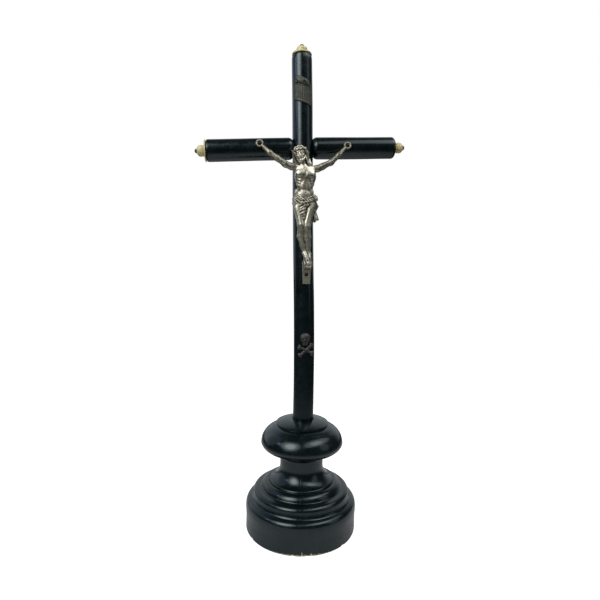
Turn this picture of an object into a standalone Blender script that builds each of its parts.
"""Altar cross: a turned, ebonised wooden pedestal whose socket holds a round wooden cross.

The upright and the two arms are dowels, held at the crossing by a hidden dowel. Each free end has
a turned bone finial on a domed pin. A cast metal corpus, a bent scroll and a skull with crossed
bones are nailed to the front. The cross leans slightly to the left in a socket that is bored a
little off the pedestal's centre, and it lifts out along its own axis.

Frame: origin at the centre of the pedestal's underside, +Z up, arms along X, front towards -Y.
"""

from math import atan2, cos, pi, radians, sin, tan

import bmesh
import bpy
from mathutils import Matrix, Vector

MM = 0.001
GAP = 0.30 * MM

# ---- driving dimensions: cross -------------------------------------------------------------
ROD_RADIUS = 8.0 * MM
ROD_TOP = 375.0 * MM
ROD_EDGE = 1.6 * MM
ROD_WAVES = (0.75 * MM, 0.35 * MM, 0.25 * MM)
ROD_LEAN = 0.90 * MM
CROSS_LEAN = radians(1.2)
CROSSING_HEIGHT = 300.6 * MM
ARM_RADIUS = 8.7 * MM
ARM_REACH = {"left": 76.0 * MM, "right": 75.2 * MM}
ARM_ROOT = 7.4 * MM
ARM_ROOT_ROUND = 4.2 * MM
ARM_END_ROUND = {"left": 1.6 * MM, "right": 3.8 * MM}
ARM_RISE = {"left": radians(-2.8), "right": radians(1.9)}
DOWEL_RADIUS = 3.0 * MM
DOWEL_LENGTH = 52.0 * MM

# ---- driving dimensions: pedestal ----------------------------------------------------------
SOCKET_RADIUS = 8.40 * MM
SOCKET_FLOOR = 54.0 * MM
SOCKET_OFFSET = 0.54 * MM
SEAT_HEIGHT = 84.3 * MM
PLINTH_RADIUS = 43.0 * MM
PLINTH_WALL_TOP = 10.0 * MM

# ---- driving dimensions: fittings ----------------------------------------------------------
BORE_CLEARANCE = 0.30 * MM
FINIAL_FLANGE_RADIUS = {"top": 7.8 * MM, "left": 8.3 * MM, "right": 4.9 * MM}
FINIAL_FLANGE = 1.1 * MM
FINIAL_NECK_RADIUS = 3.3 * MM
FINIAL_BEAD_RADIUS = {"top": 4.4 * MM, "left": 4.6 * MM, "right": 4.0 * MM}
FINIAL_BEAD_LENGTH = 6.2 * MM
PEG_RADIUS = 2.2 * MM
PEG_LENGTH = 6.0 * MM
PIN_RADIUS = 0.55 * MM
PIN_HEAD_RADIUS = 2.0 * MM
PIN_HEAD_RISE = 1.5 * MM
NAIL_RADIUS = 0.55 * MM
NAIL_DEPTH = 6.5 * MM
SCROLL_HALF_WIDTH = 7.4 * MM
SCROLL_HALF_HEIGHT = 9.0 * MM
SCROLL_THICKNESS = 0.6 * MM
SCROLL_CURL = 1.3 * MM
SCROLL_SLANT = radians(14.0)
SCROLL_HEIGHT = 343.3 * MM
SKULL_HEIGHT = 147.6 * MM
PALM_RADIUS = 3.3 * MM
PALM_THICKNESS = 1.5 * MM
PALM_AT = {"left": (-34.9 * MM, 301.0 * MM), "right": (34.3 * MM, 301.3 * MM)}
FOOT_NAIL_AT = (1.7 * MM, 199.4 * MM)
EMBLEM_NAIL_AT = (2.2 * MM, 140.7 * MM)
SCROLL_NAILS = {"left": (-5.6 * MM, 6.2 * MM), "right": (0.6 * MM, 6.3 * MM)}

BACK = ROD_RADIUS + GAP
SIDES = {"left": -1.0, "right": 1.0}


# ---- scene, materials and objects ----------------------------------------------------------
def clear_scene():
    for old in list(bpy.data.objects):
        bpy.data.objects.remove(old, do_unlink=True)


def material(name, colour, roughness, metallic=0.0):
    made = bpy.data.materials.new(name)
    made.use_nodes = True
    shader = made.node_tree.nodes["Principled BSDF"]
    shader.inputs["Base Color"].default_value = (*colour, 1.0)
    shader.inputs["Roughness"].default_value = roughness
    shader.inputs["Metallic"].default_value = metallic
    return made


def solid(name, bm, finish=None, frame=None):
    """A mesh object placed by frame; without a finish it is a hidden helper shape."""
    bmesh.ops.recalc_face_normals(bm, faces=bm.faces)
    mesh = bpy.data.meshes.new(name)
    bm.to_mesh(mesh)
    bm.free()
    mesh.shade_smooth()
    mesh.set_sharp_from_angle(angle=radians(40))
    made = bpy.data.objects.new(name, mesh)
    bpy.context.scene.collection.objects.link(made)
    if frame is not None:
        made.matrix_basis = frame
    if finish is None:
        made.hide_render = True
        made.display_type = "WIRE"
    else:
        mesh.materials.append(finish)
    return made


def based_at(origin, bm):
    """Shifts a shape so that it is measured from origin; returns it with the frame that puts it back."""
    frame = Matrix.Translation(origin)
    bm.transform(frame.inverted())
    return bm, frame


def lean_frame():
    """Where the cross stands: it turns about its seat, which is a little off the pedestal's axis."""
    seat = Matrix.Translation((SOCKET_OFFSET, 0, SEAT_HEIGHT))
    return seat @ Matrix.Rotation(-CROSS_LEAN, 4, "Y")


def hang_cross(pieces):
    """Parents the cross's pieces, modelled upright with their seat on the Z axis, to a leaning empty."""
    parent = bpy.data.objects.new("cross", None)
    bpy.context.scene.collection.objects.link(parent)
    parent.matrix_world = lean_frame()
    for piece in pieces:
        piece.parent = parent
        piece.matrix_parent_inverse = Matrix.Translation((0, 0, -SEAT_HEIGHT))


def boolean(target, tool, operation):
    step = target.modifiers.new(operation.lower() + "_" + tool.name, "BOOLEAN")
    step.operation = operation
    step.object = tool
    step.solver = "EXACT"


# ---- outlines ------------------------------------------------------------------------------
def arc(start, end, bulge, steps=6):
    """Points after start, up to end, on the circular arc that rises bulge to the right of the way."""
    start, end = Vector(start), Vector(end)
    chord = end - start
    side = Vector((chord.y, -chord.x)).normalized()
    radius = (chord.length**2 / 4 + bulge**2) / (2 * bulge)
    centre = (start + end) / 2 + side * (bulge - radius)
    first = atan2(start.y - centre.y, start.x - centre.x)
    turn = 4 * atan2(2 * bulge, chord.length)
    points = []
    for i in range(1, steps + 1):
        angle = first + turn * i / steps
        points.append((centre.x + abs(radius) * cos(angle), centre.y + abs(radius) * sin(angle)))
    return points


def quarter(centre, radius, first, last, steps=4):
    """Points on an arc about centre between two angles in degrees, both ends included."""
    angles = [radians(first + (last - first) * i / steps) for i in range(steps + 1)]
    return [(centre[0] + radius * cos(a), centre[1] + radius * sin(a)) for a in angles]


# ---- solid builders ------------------------------------------------------------------------
def turned(outline, segments, closed=False):
    """Spins an outline of (radius, height) about Z; a closed outline leaves a hole on the axis."""
    bm = bmesh.new()
    verts = [bm.verts.new((r, 0, z)) for r, z in outline]
    pairs = list(zip(verts, verts[1:]))
    if closed:
        pairs.append((verts[-1], verts[0]))
    edges = [bm.edges.new(pair) for pair in pairs]
    bmesh.ops.spin(bm, geom=verts + edges, angle=2 * pi, steps=segments, axis=(0, 0, 1), cent=(0, 0, 0))
    bmesh.ops.remove_doubles(bm, verts=bm.verts, dist=1e-6)
    return bm


def skinned(rings):
    """A closed solid through rings of points, each ring with the same number of points."""
    bm = bmesh.new()
    loops = [[bm.verts.new(point) for point in ring] for ring in rings]
    for low, high in zip(loops, loops[1:]):
        for i in range(len(low)):
            j = (i + 1) % len(low)
            bm.faces.new((low[i], low[j], high[j], high[i]))
    bm.faces.new(loops[0])
    bm.faces.new(loops[-1])
    return bm


def ellipse_ring(centre, across, deep, segments):
    angles = [2 * pi * i / segments for i in range(segments)]
    return [centre + Vector((across * cos(a), deep * sin(a), 0)) for a in angles]


def tube_rings(path, radii, segments):
    """Round rings square to a path of points, one radius for each point."""
    rings = []
    for i, (point, radius) in enumerate(zip(path, radii)):
        before = path[max(i - 1, 0)]
        after = path[min(i + 1, len(path) - 1)]
        along = (after - before).normalized()
        across = along.cross(Vector((0, 1, 0))).normalized()
        deep = across.cross(along)
        angles = [2 * pi * k / segments for k in range(segments)]
        rings.append([point + radius * (across * cos(a) + deep * sin(a)) for a in angles])
    return rings


def rounded_ball(centre, size, tilt=0.0, segments=18, rows=9):
    """An ellipsoid with half axes size, leaned by tilt about Y."""
    bm = bmesh.new()
    bmesh.ops.create_uvsphere(bm, u_segments=segments, v_segments=rows, radius=1.0)
    stretch = Matrix.Diagonal((*size, 1.0))
    bm.transform(Matrix.Translation(centre) @ Matrix.Rotation(tilt, 4, "Y") @ stretch)
    return bm


def cylinder(radius, length, segments=16, matrix=None):
    """A cylinder from the origin up +Z, then moved by matrix."""
    bm = bmesh.new()
    bmesh.ops.create_cone(
        bm, cap_ends=True, segments=segments, radius1=radius, radius2=radius, depth=length
    )
    bm.transform(Matrix.Translation((0, 0, length / 2)))
    if matrix is not None:
        bm.transform(matrix)
    return bm


def merged(parts):
    """One bmesh holding the given closed shapes, which don't touch each other."""
    whole = bmesh.new()
    for part in parts:
        mesh = bpy.data.meshes.new("part")
        part.to_mesh(mesh)
        part.free()
        whole.from_mesh(mesh)
        bpy.data.meshes.remove(mesh)
    return whole


def pointing(direction):
    """The rotation that turns +Z to a direction."""
    return Vector(direction).to_track_quat("Z", "Y").to_matrix().to_4x4()


# ---- places on the cross -------------------------------------------------------------------
def rod_centre(height):
    """The upright's centreline: straight in the socket, then slightly bent, most of all low down."""
    share = max(0.0, (height - SEAT_HEIGHT) / (ROD_TOP - SEAT_HEIGHT))
    bend = sum(wave * sin((i + 1) * pi * share) for i, wave in enumerate(ROD_WAVES))
    return Vector((bend - ROD_LEAN * share, 0, height))


def on_front(x, height, depth=0.0):
    """A point in front of the upright, depth beyond the plane that just clears it."""
    return Vector((x, -BACK - depth, height))


def scroll_point(across, up, lift):
    """Wraps a flat scroll's point round the upright: the sheet is slanted, then bent."""
    rise = up - across * tan(SCROLL_SLANT)
    angle = across / (BACK + SCROLL_THICKNESS)
    reach = BACK + lift
    return rod_centre(SCROLL_HEIGHT) + Vector((reach * sin(angle), -reach * cos(angle), rise))


def crossing():
    return rod_centre(CROSSING_HEIGHT)


def arm_frame(side):
    """The frame of one arm: +Z runs outward along the arm, from the crossing."""
    outward = (SIDES[side] * cos(ARM_RISE[side]), 0, sin(ARM_RISE[side]))
    return Matrix.Translation(crossing()) @ pointing(outward)


def palm_seat(side):
    """The back of a palm, just clear of the arm's front."""
    x, height = PALM_AT[side]
    return Vector((x, -ARM_RADIUS - GAP, height))


# ---- pedestal ------------------------------------------------------------------------------
def pedestal_outline():
    """The turned outline from the underside's centre up to the middle of the seat."""
    outline = [(0, 0), (PLINTH_RADIUS - 0.6 * MM, 0), (PLINTH_RADIUS, 0.6 * MM)]
    outline += [(PLINTH_RADIUS, PLINTH_WALL_TOP)]

    def stretch(radius, height, bulge=0.0, steps=5):
        """Goes on to a point, straight or along an arc; a positive bulge swells outward."""
        point = (radius * MM, height * MM)
        if bulge:
            outline.extend(arc(outline[-1], point, bulge * MM, steps))
        else:
            outline.append(point)

    stretch(43.5, 16.6)
    stretch(42.3, 20.9, 0.35, 3)
    stretch(40.2, 23.0, 0.35, 3)
    stretch(39.0, 23.5)
    stretch(38.3, 24.6)
    stretch(37.7, 27.3)
    stretch(34.2, 30.8, 1.15)
    stretch(32.0, 31.0)
    stretch(31.2, 31.5)
    stretch(30.7, 33.0)
    stretch(26.6, 35.8, 1.0, 4)
    stretch(25.5, 35.6)
    stretch(25.2, 36.5)
    stretch(24.9, 36.9)
    stretch(17.05, 47.6, -2.03, 8)
    stretch(17.1, 55.0)
    stretch(18.8, 58.0)
    stretch(26.4, 60.8, 0.3, 2)
    stretch(32.6, 66.0, 1.3, 4)
    stretch(25.4, 77.2, 1.9, 6)
    stretch(21.2, 79.2, 0.25, 2)
    stretch(20.5, 79.7)
    stretch(20.2, 81.5, 0.75, 4)
    stretch(8.9, 84.1, 0.5, 3)
    return outline + [(0, SEAT_HEIGHT)]


def make_pedestal(finish):
    """The pedestal, with the leaning blind socket bored into its top."""
    pedestal = solid("turned_base", turned(pedestal_outline(), 40), finish)
    mouth = SOCKET_RADIUS + 0.4 * MM
    above = SEAT_HEIGHT + 3.0 * MM
    bore = [(0, SOCKET_FLOOR), (SOCKET_RADIUS, SOCKET_FLOOR), (SOCKET_RADIUS, SEAT_HEIGHT - 0.6 * MM)]
    bore += [(mouth, SEAT_HEIGHT - 0.2 * MM), (mouth, above), (0, above)]
    bore = [(radius, height - SEAT_HEIGHT) for radius, height in bore]
    boolean(pedestal, solid("socket_bore", turned(bore, 32), frame=lean_frame()), "DIFFERENCE")
    return pedestal


# ---- upright and arms ----------------------------------------------------------------------
def nail_hole(seat, direction, depth=NAIL_DEPTH + 1.0 * MM):
    """A drilling that starts just outside the wood at seat and runs inward along direction."""
    inward = Vector(direction).normalized()
    start = seat - inward * 1.5 * MM
    frame = Matrix.Translation(start) @ pointing(inward)
    return cylinder(NAIL_RADIUS + BORE_CLEARANCE, depth + 1.5 * MM, 12, frame)


def end_bore(frame, end):
    """The stepped blind hole in a free end: a wide bore for the peg and a pilot for the pin."""
    radius = PEG_RADIUS + BORE_CLEARANCE
    pilot = PIN_RADIUS + BORE_CLEARANCE
    floor = end - PEG_LENGTH - 1.0 * MM
    tip = floor - 3.0 * MM
    mouth = end + 1.0 * MM
    outline = [(0, tip), (pilot, tip), (pilot, floor), (radius, floor), (radius, mouth), (0, mouth)]
    bm = turned(outline, 16)
    bm.transform(frame)
    return bm


def dowel_frame():
    """The hidden dowel's frame: its axis shares out the two arms' slight misalignment."""
    slope = (ARM_RISE["right"] - ARM_RISE["left"]) / 2
    return Matrix.Translation(crossing()) @ pointing((cos(slope), 0, sin(slope)))


def dowel_bore():
    frame = dowel_frame() @ Matrix.Translation((0, 0, -DOWEL_LENGTH / 2 - 1.0 * MM))
    return cylinder(DOWEL_RADIUS + BORE_CLEARANCE, DOWEL_LENGTH + 2.0 * MM, 20, frame)


def scroll_nail_seat(side):
    """A point on the scroll's front and the inward direction for one of its nails."""
    across, up = SCROLL_NAILS[side]
    seat = scroll_point(across, up, SCROLL_THICKNESS + GAP)
    inward = scroll_point(across, up, 0) - seat
    return seat, inward.normalized()


def make_upright(finish):
    """The upright dowel, with bores for its neighbours' dowel, peg and nails."""
    foot = SOCKET_FLOOR + GAP
    rows = 8
    heights = [foot + 0.8 * MM, SEAT_HEIGHT]
    heights += [SEAT_HEIGHT + (ROD_TOP - ROD_EDGE - SEAT_HEIGHT) * i / rows for i in range(1, rows + 1)]
    sections = [(foot, ROD_RADIUS - 0.8 * MM)]
    sections += [(height, ROD_RADIUS) for height in heights]
    sections += [(ROD_TOP - ROD_EDGE * 0.3, ROD_RADIUS - ROD_EDGE * 0.3)]
    sections += [(ROD_TOP, ROD_RADIUS - ROD_EDGE)]
    rings = [ellipse_ring(rod_centre(height), radius, radius, 32) for height, radius in sections]
    shape, frame = based_at((0, 0, foot), skinned(rings))
    upright = solid("upright_rod", shape, finish, frame)

    top = Matrix.Translation(rod_centre(ROD_TOP) - Vector((0, 0, ROD_TOP)))
    drillings = [end_bore(top, ROD_TOP), dowel_bore()]
    for x, height in (FOOT_NAIL_AT, EMBLEM_NAIL_AT):
        drillings.append(nail_hole(on_front(x, height), (0, 1, 0)))
    for side in SIDES:
        seat, inward = scroll_nail_seat(side)
        drillings.append(nail_hole(seat + inward * (SCROLL_THICKNESS + GAP), inward))
    boolean(upright, solid("rod_drillings", merged(drillings)), "DIFFERENCE")
    return upright


def make_arm(side, finish):
    """One arm: bull-nosed and coped where it meets the upright, rounded at its free end."""
    end_round = ARM_END_ROUND[side]
    reach = ARM_REACH[side]
    outline = [(0, ARM_ROOT)]
    outline += quarter(
        (ARM_RADIUS - ARM_ROOT_ROUND, ARM_ROOT + ARM_ROOT_ROUND), ARM_ROOT_ROUND, -90, 0, 4
    )
    outline += quarter((ARM_RADIUS - end_round, reach - end_round), end_round, 0, 90, 3)
    outline += [(0, reach)]
    arm = solid("arm_" + side, turned(outline, 32), finish, arm_frame(side))

    low = CROSSING_HEIGHT - 2 * ARM_RADIUS
    high = CROSSING_HEIGHT + 2 * ARM_RADIUS
    rings = [ellipse_ring(rod_centre(z), BACK, BACK, 32) for z in (low, high)]
    boolean(arm, solid("cope_" + side, skinned(rings)), "DIFFERENCE")
    drillings = [dowel_bore(), end_bore(arm_frame(side), reach)]
    drillings.append(nail_hole(palm_seat(side), (0, 1, 0)))
    boolean(arm, solid("arm_drillings_" + side, merged(drillings)), "DIFFERENCE")
    return arm


def make_dowel(finish):
    frame = dowel_frame() @ Matrix.Translation((0, 0, -DOWEL_LENGTH / 2))
    return solid("arm_dowel", cylinder(DOWEL_RADIUS, DOWEL_LENGTH, 20), finish, frame)


# ---- finials -------------------------------------------------------------------------------
def make_finial(place, frame, end, bone, metal):
    """A bone finial (peg, flange, neck and bead on one axis) and the domed pin that holds it."""
    bore = PIN_RADIUS + BORE_CLEARANCE
    seat = end + GAP
    neck = seat + FINIAL_FLANGE
    tip = neck + FINIAL_BEAD_LENGTH
    outline = [(bore, seat - PEG_LENGTH), (PEG_RADIUS, seat - PEG_LENGTH), (PEG_RADIUS, seat)]
    flange = FINIAL_FLANGE_RADIUS[place]
    outline += [(flange, seat)]
    outline += arc(outline[-1], (flange - 0.5 * MM, neck), 0.3 * MM, 3)
    outline += [(FINIAL_NECK_RADIUS, neck + 0.3 * MM)]
    shoulder = (FINIAL_BEAD_RADIUS[place], neck + 0.36 * FINIAL_BEAD_LENGTH)
    outline += arc(outline[-1], shoulder, 0.25 * MM, 2)
    outline += arc(shoulder, (PIN_HEAD_RADIUS - 0.2 * MM, tip), 0.7 * MM, 5)
    outline += [(bore, tip)]
    solid("finial_" + place, turned(outline, 18, closed=True), bone, frame)

    head = tip + GAP
    outline = [(0, end - PEG_LENGTH - 2.5 * MM), (PIN_RADIUS, end - PEG_LENGTH - 1.5 * MM)]
    outline += [(PIN_RADIUS, head), (PIN_HEAD_RADIUS, head)]
    outline += arc(outline[-1], (0, head + PIN_HEAD_RISE), 0.42 * MM, 4)
    solid("finial_pin_" + place, turned(outline, 12), metal, frame)


def make_finials(bone, metal):
    top = Matrix.Translation(rod_centre(ROD_TOP) - Vector((0, 0, ROD_TOP)))
    make_finial("top", top, ROD_TOP, bone, metal)
    for side in SIDES:
        make_finial(side, arm_frame(side), ARM_REACH[side], bone, metal)


# ---- nails ---------------------------------------------------------------------------------
def make_nail(name, seat, inward, head_radius, finish, countersunk=0.0):
    """A nail whose head starts at seat; a countersunk head tapers down to the shank."""
    rise = 0.35 * head_radius
    outline = [(0, -NAIL_DEPTH), (NAIL_RADIUS, -NAIL_DEPTH + 1.2 * MM)]
    outline += [(NAIL_RADIUS, -countersunk), (head_radius, 0.0), (head_radius, 0.25 * MM)]
    outline += arc(outline[-1], (0, 0.25 * MM + rise), 0.2 * head_radius, 4)
    frame = Matrix.Translation(seat) @ pointing(-inward)
    return solid(name, turned(outline, 12), finish, frame)


# ---- titulus -------------------------------------------------------------------------------
def scroll_section():
    """The scroll's cut outline in (up, lift): a flat sheet whose two ends curl forward."""
    inner = SCROLL_CURL - SCROLL_THICKNESS
    middle = SCROLL_HALF_HEIGHT
    outline = quarter((middle, SCROLL_CURL), SCROLL_CURL, -90, 130, 7)
    outline += quarter((middle, SCROLL_CURL), inner, 130, -90, 5)
    outline += quarter((-middle, SCROLL_CURL), inner, -90, -310, 5)
    outline += quarter((-middle, SCROLL_CURL), SCROLL_CURL, -310, -90, 7)
    return outline


def make_scroll(finish):
    """The name scroll, bent round the front of the upright, with two nail holes."""
    columns = 9
    section = scroll_section()
    rings = []
    for i in range(columns):
        across = SCROLL_HALF_WIDTH * (2 * i / (columns - 1) - 1)
        rings.append([scroll_point(across, up, lift) for up, lift in section])
    shape, frame = based_at(rod_centre(SCROLL_HEIGHT), skinned(rings))
    scroll = solid("titulus_scroll", shape, finish, frame)
    holes = [nail_hole(*scroll_nail_seat(side)) for side in SIDES]
    boolean(scroll, solid("scroll_holes", merged(holes)), "DIFFERENCE")
    for side in SIDES:
        seat, inward = scroll_nail_seat(side)
        make_nail("titulus_nail_" + side, seat, inward, 1.1 * MM, finish)
    return scroll


# ---- corpus --------------------------------------------------------------------------------
def corpus_tube(path, radii, segments=14):
    """A round limb through points of (x, height, depth of its axis), all in millimetres."""
    points = [on_front(x * MM, z * MM, d * MM) for x, z, d in path]
    return skinned(tube_rings(points, [r * MM for r in radii], segments))


def make_corpus_trunk():
    """Neck, chest, waist and the wrapped hips, as flattened rings from the neck down."""
    stations = [
        (-1.2, 287.0, 2.5, 2.5),
        (-0.6, 284.6, 3.4, 2.9),
        (0.0, 283.0, 6.6, 3.3),
        (0.2, 279.5, 8.1, 3.9),
        (0.3, 275.0, 8.1, 4.1),
        (0.4, 270.0, 7.0, 3.7),
        (0.4, 265.3, 6.3, 3.3),
        (-0.6, 260.5, 8.6, 4.0),
        (-0.8, 254.0, 9.0, 4.3),
        (-1.2, 246.0, 7.5, 4.4),
        (-1.6, 239.0, 5.7, 4.2),
    ]
    rings = []
    for x, height, across, deep in stations:
        centre = on_front(x * MM, height * MM, deep * MM)
        rings.append(ellipse_ring(centre, across * MM, deep * MM, 24))
    return skinned(rings)


def make_foot_plate():
    """The tapered plate under the feet, with a countersunk hole for the foot nail."""
    rings = []
    for x, height, half_width in ((1.5, 192.1, 2.8), (1.6, 194.0, 3.1), (2.0, 211.0, 3.8)):
        left = (x - half_width) * MM
        right = (x + half_width) * MM
        front = 1.9 * MM
        z = height * MM
        back_edge = [on_front(left, z), on_front(right, z)]
        rings.append(back_edge + [on_front(right, z, front), on_front(left, z, front)])
    return skinned(rings)


def countersink(seat, thickness):
    """A nail's way through metal of the given thickness, widening towards the front."""
    hole = NAIL_RADIUS + BORE_CLEARANCE
    wide = 2.0 * MM
    outline = [(0, -1.0 * MM), (hole, -1.0 * MM), (hole, thickness - 1.1 * MM)]
    outline += [(wide, thickness - 0.4 * MM), (wide, thickness + 1.0 * MM), (0, thickness + 1.0 * MM)]
    bm = turned(outline, 16)
    bm.transform(Matrix.Translation(seat) @ pointing((0, -1, 0)))
    return bm


def make_corpus(silvered, steel):
    """The cast figure: trunk, head, legs, drape and foot plate in one, and two separate arms."""
    shape, frame = based_at(on_front(0, CROSSING_HEIGHT), make_corpus_trunk())
    body = solid("corpus_body", shape, silvered, frame)
    head_centre = on_front(-3.9 * MM, 292.5 * MM, 6.4 * MM)
    helpers = {
        "head": rounded_ball(head_centre, (5.9 * MM, 5.2 * MM, 7.2 * MM), radians(-12)),
        "hair_lock": corpus_tube(
            [(0.2, 291.0, 5.4), (3.4, 287.5, 5.2), (5.2, 284.4, 4.6)], [2.0, 1.9, 1.2], 10
        ),
        "left_leg": corpus_tube(
            [(-4.4, 248, 4.4), (-4.0, 236.5, 6.2), (-2.4, 227, 4.6), (-0.4, 218, 3.4), (1.4, 208.5, 2.6)],
            [3.7, 3.2, 2.9, 2.2, 1.8],
        ),
        "right_leg": corpus_tube(
            [(2.2, 248, 4.4), (1.4, 236.0, 5.6), (2.2, 227, 4.4), (2.4, 218, 4.2), (3.4, 208.0, 3.4)],
            [3.5, 2.9, 2.7, 2.2, 2.0],
        ),
        "drape": corpus_tube(
            [(6.6, 258, 4.0), (8.2, 252, 3.2), (8.8, 245.5, 2.6), (7.8, 240.6, 2.4)],
            [1.6, 1.8, 1.9, 1.2],
            10,
        ),
        "foot_plate": make_foot_plate(),
    }
    for name, shape in helpers.items():
        boolean(body, solid("corpus_" + name, shape), "UNION")
    foot_seat = on_front(*FOOT_NAIL_AT)
    boolean(body, solid("foot_nail_way", countersink(foot_seat, 1.9 * MM)), "DIFFERENCE")
    head_seat = foot_seat + Vector((0, -(1.9 - 0.4 + 0.3) * MM, 0))
    make_nail("foot_nail", head_seat, Vector((0, 1, 0)), 1.45 * MM, steel, 0.3 * MM)

    for side in SIDES:
        make_corpus_arm(side, silvered)
        nail_seat = palm_seat(side) + Vector((0, -(PALM_THICKNESS - 0.1 * MM), 0))
        make_nail("hand_nail_" + side, nail_seat, Vector((0, 1, 0)), 1.45 * MM, steel, 0.3 * MM)


def make_corpus_arm(side, silvered):
    """One arm of the figure, from the soldered shoulder to a palm with a countersunk hole."""
    paths = {
        "left": [(-9.4, 283.5, 4.0), (-15.1, 285.1, 4.2), (-21.2, 288.9, 4.0), (-27.1, 293.4, 3.2)],
        "right": [(9.4, 282.0, 4.0), (13.6, 283.7, 4.2), (20.4, 286.9, 4.0), (27.0, 293.0, 3.2)],
    }
    wrists = {"left": (-32.6, 298.8, 1.7), "right": (32.2, 299.0, 1.7)}
    limb = corpus_tube(paths[side] + [wrists[side]], [2.1, 2.3, 1.9, 1.7, 1.3], 12)
    seat = palm_seat(side)
    shape, frame = based_at(seat, limb)
    arm = solid("corpus_arm_" + side, shape, silvered, frame)
    palm = cylinder(PALM_RADIUS, PALM_THICKNESS, 20)
    palm_frame = Matrix.Translation(seat) @ pointing((0, -1, 0))
    boolean(arm, solid("palm_" + side, palm, None, palm_frame), "UNION")
    boolean(arm, solid("palm_way_" + side, countersink(seat, PALM_THICKNESS)), "DIFFERENCE")


# ---- skull and crossed bones ---------------------------------------------------------------
def make_bone(start, end):
    """One long bone with a rounded knob at each end, standing on the upright's front plane."""
    low = on_front(start[0] * MM, start[1] * MM, 1.0 * MM)
    high = on_front(end[0] * MM, end[1] * MM, 1.0 * MM)
    shares = (0.0, 0.10, 0.24, 0.76, 0.90, 1.0)
    radii = (0.55, 0.95, 0.60, 0.60, 0.95, 0.55)
    path = [low.lerp(high, share) for share in shares]
    return skinned(tube_rings(path, [r * MM for r in radii], 10))


def make_emblem(finish, brass):
    """A skull over two crossed bones, cast in one piece and held by one small nail."""
    middle = 0.8 * MM
    centre = on_front(middle, SKULL_HEIGHT + 1.2 * MM, 1.9 * MM)
    skull = rounded_ball((0, 0, 0), (4.0 * MM, 1.8 * MM, 3.9 * MM), 0, 16, 10)
    emblem = solid("skull_emblem", skull, finish, Matrix.Translation(centre))
    jaw = []
    for height, half_width in ((140.4, 1.7), (147.0, 2.6)):
        jaw.append(ellipse_ring(on_front(middle, height * MM, 1.3 * MM), half_width * MM, 1.2 * MM, 12))
    helpers = {
        "jaw": skinned(jaw),
        "bone_rising": make_bone((-3.6, 135.2), (6.4, 143.6)),
        "bone_falling": make_bone((6.6, 136.2), (-4.0, 141.8)),
    }
    for name, shape in helpers.items():
        boolean(emblem, solid("emblem_" + name, shape), "UNION")
    seat = on_front(*EMBLEM_NAIL_AT)
    way = Matrix.Translation(seat + Vector((0, 1.0 * MM, 0))) @ pointing((0, -1, 0))
    hole = cylinder(NAIL_RADIUS + BORE_CLEARANCE, 6.0 * MM, 12)
    boolean(emblem, solid("emblem_way", hole, None, way), "DIFFERENCE")
    make_nail("emblem_nail", seat + Vector((0, -2.4 * MM, 0)), Vector((0, 1, 0)), 1.1 * MM, brass)


# ---- assembly ------------------------------------------------------------------------------
def main():
    clear_scene()
    ebonised = material("ebonised_wood", (0.012, 0.016, 0.018), 0.28)
    plain_wood = material("plain_wood", (0.42, 0.29, 0.17), 0.7)
    bone = material("bone", (0.78, 0.70, 0.46), 0.42)
    dark_metal = material("dark_metal", (0.09, 0.085, 0.075), 0.45, 0.9)
    silvered = material("silvered_metal", (0.66, 0.63, 0.55), 0.3, 1.0)
    steel = material("steel", (0.22, 0.20, 0.17), 0.45, 1.0)
    brass = material("brass", (0.62, 0.48, 0.22), 0.35, 1.0)

    make_pedestal(ebonised)
    make_upright(ebonised)
    for side in SIDES:
        make_arm(side, ebonised)
    make_dowel(plain_wood)
    make_finials(bone, steel)
    make_scroll(dark_metal)
    make_corpus(silvered, steel)
    make_emblem(dark_metal, brass)

    hang_cross([o for o in bpy.data.objects if o.name not in ("turned_base", "socket_bore")])


main()
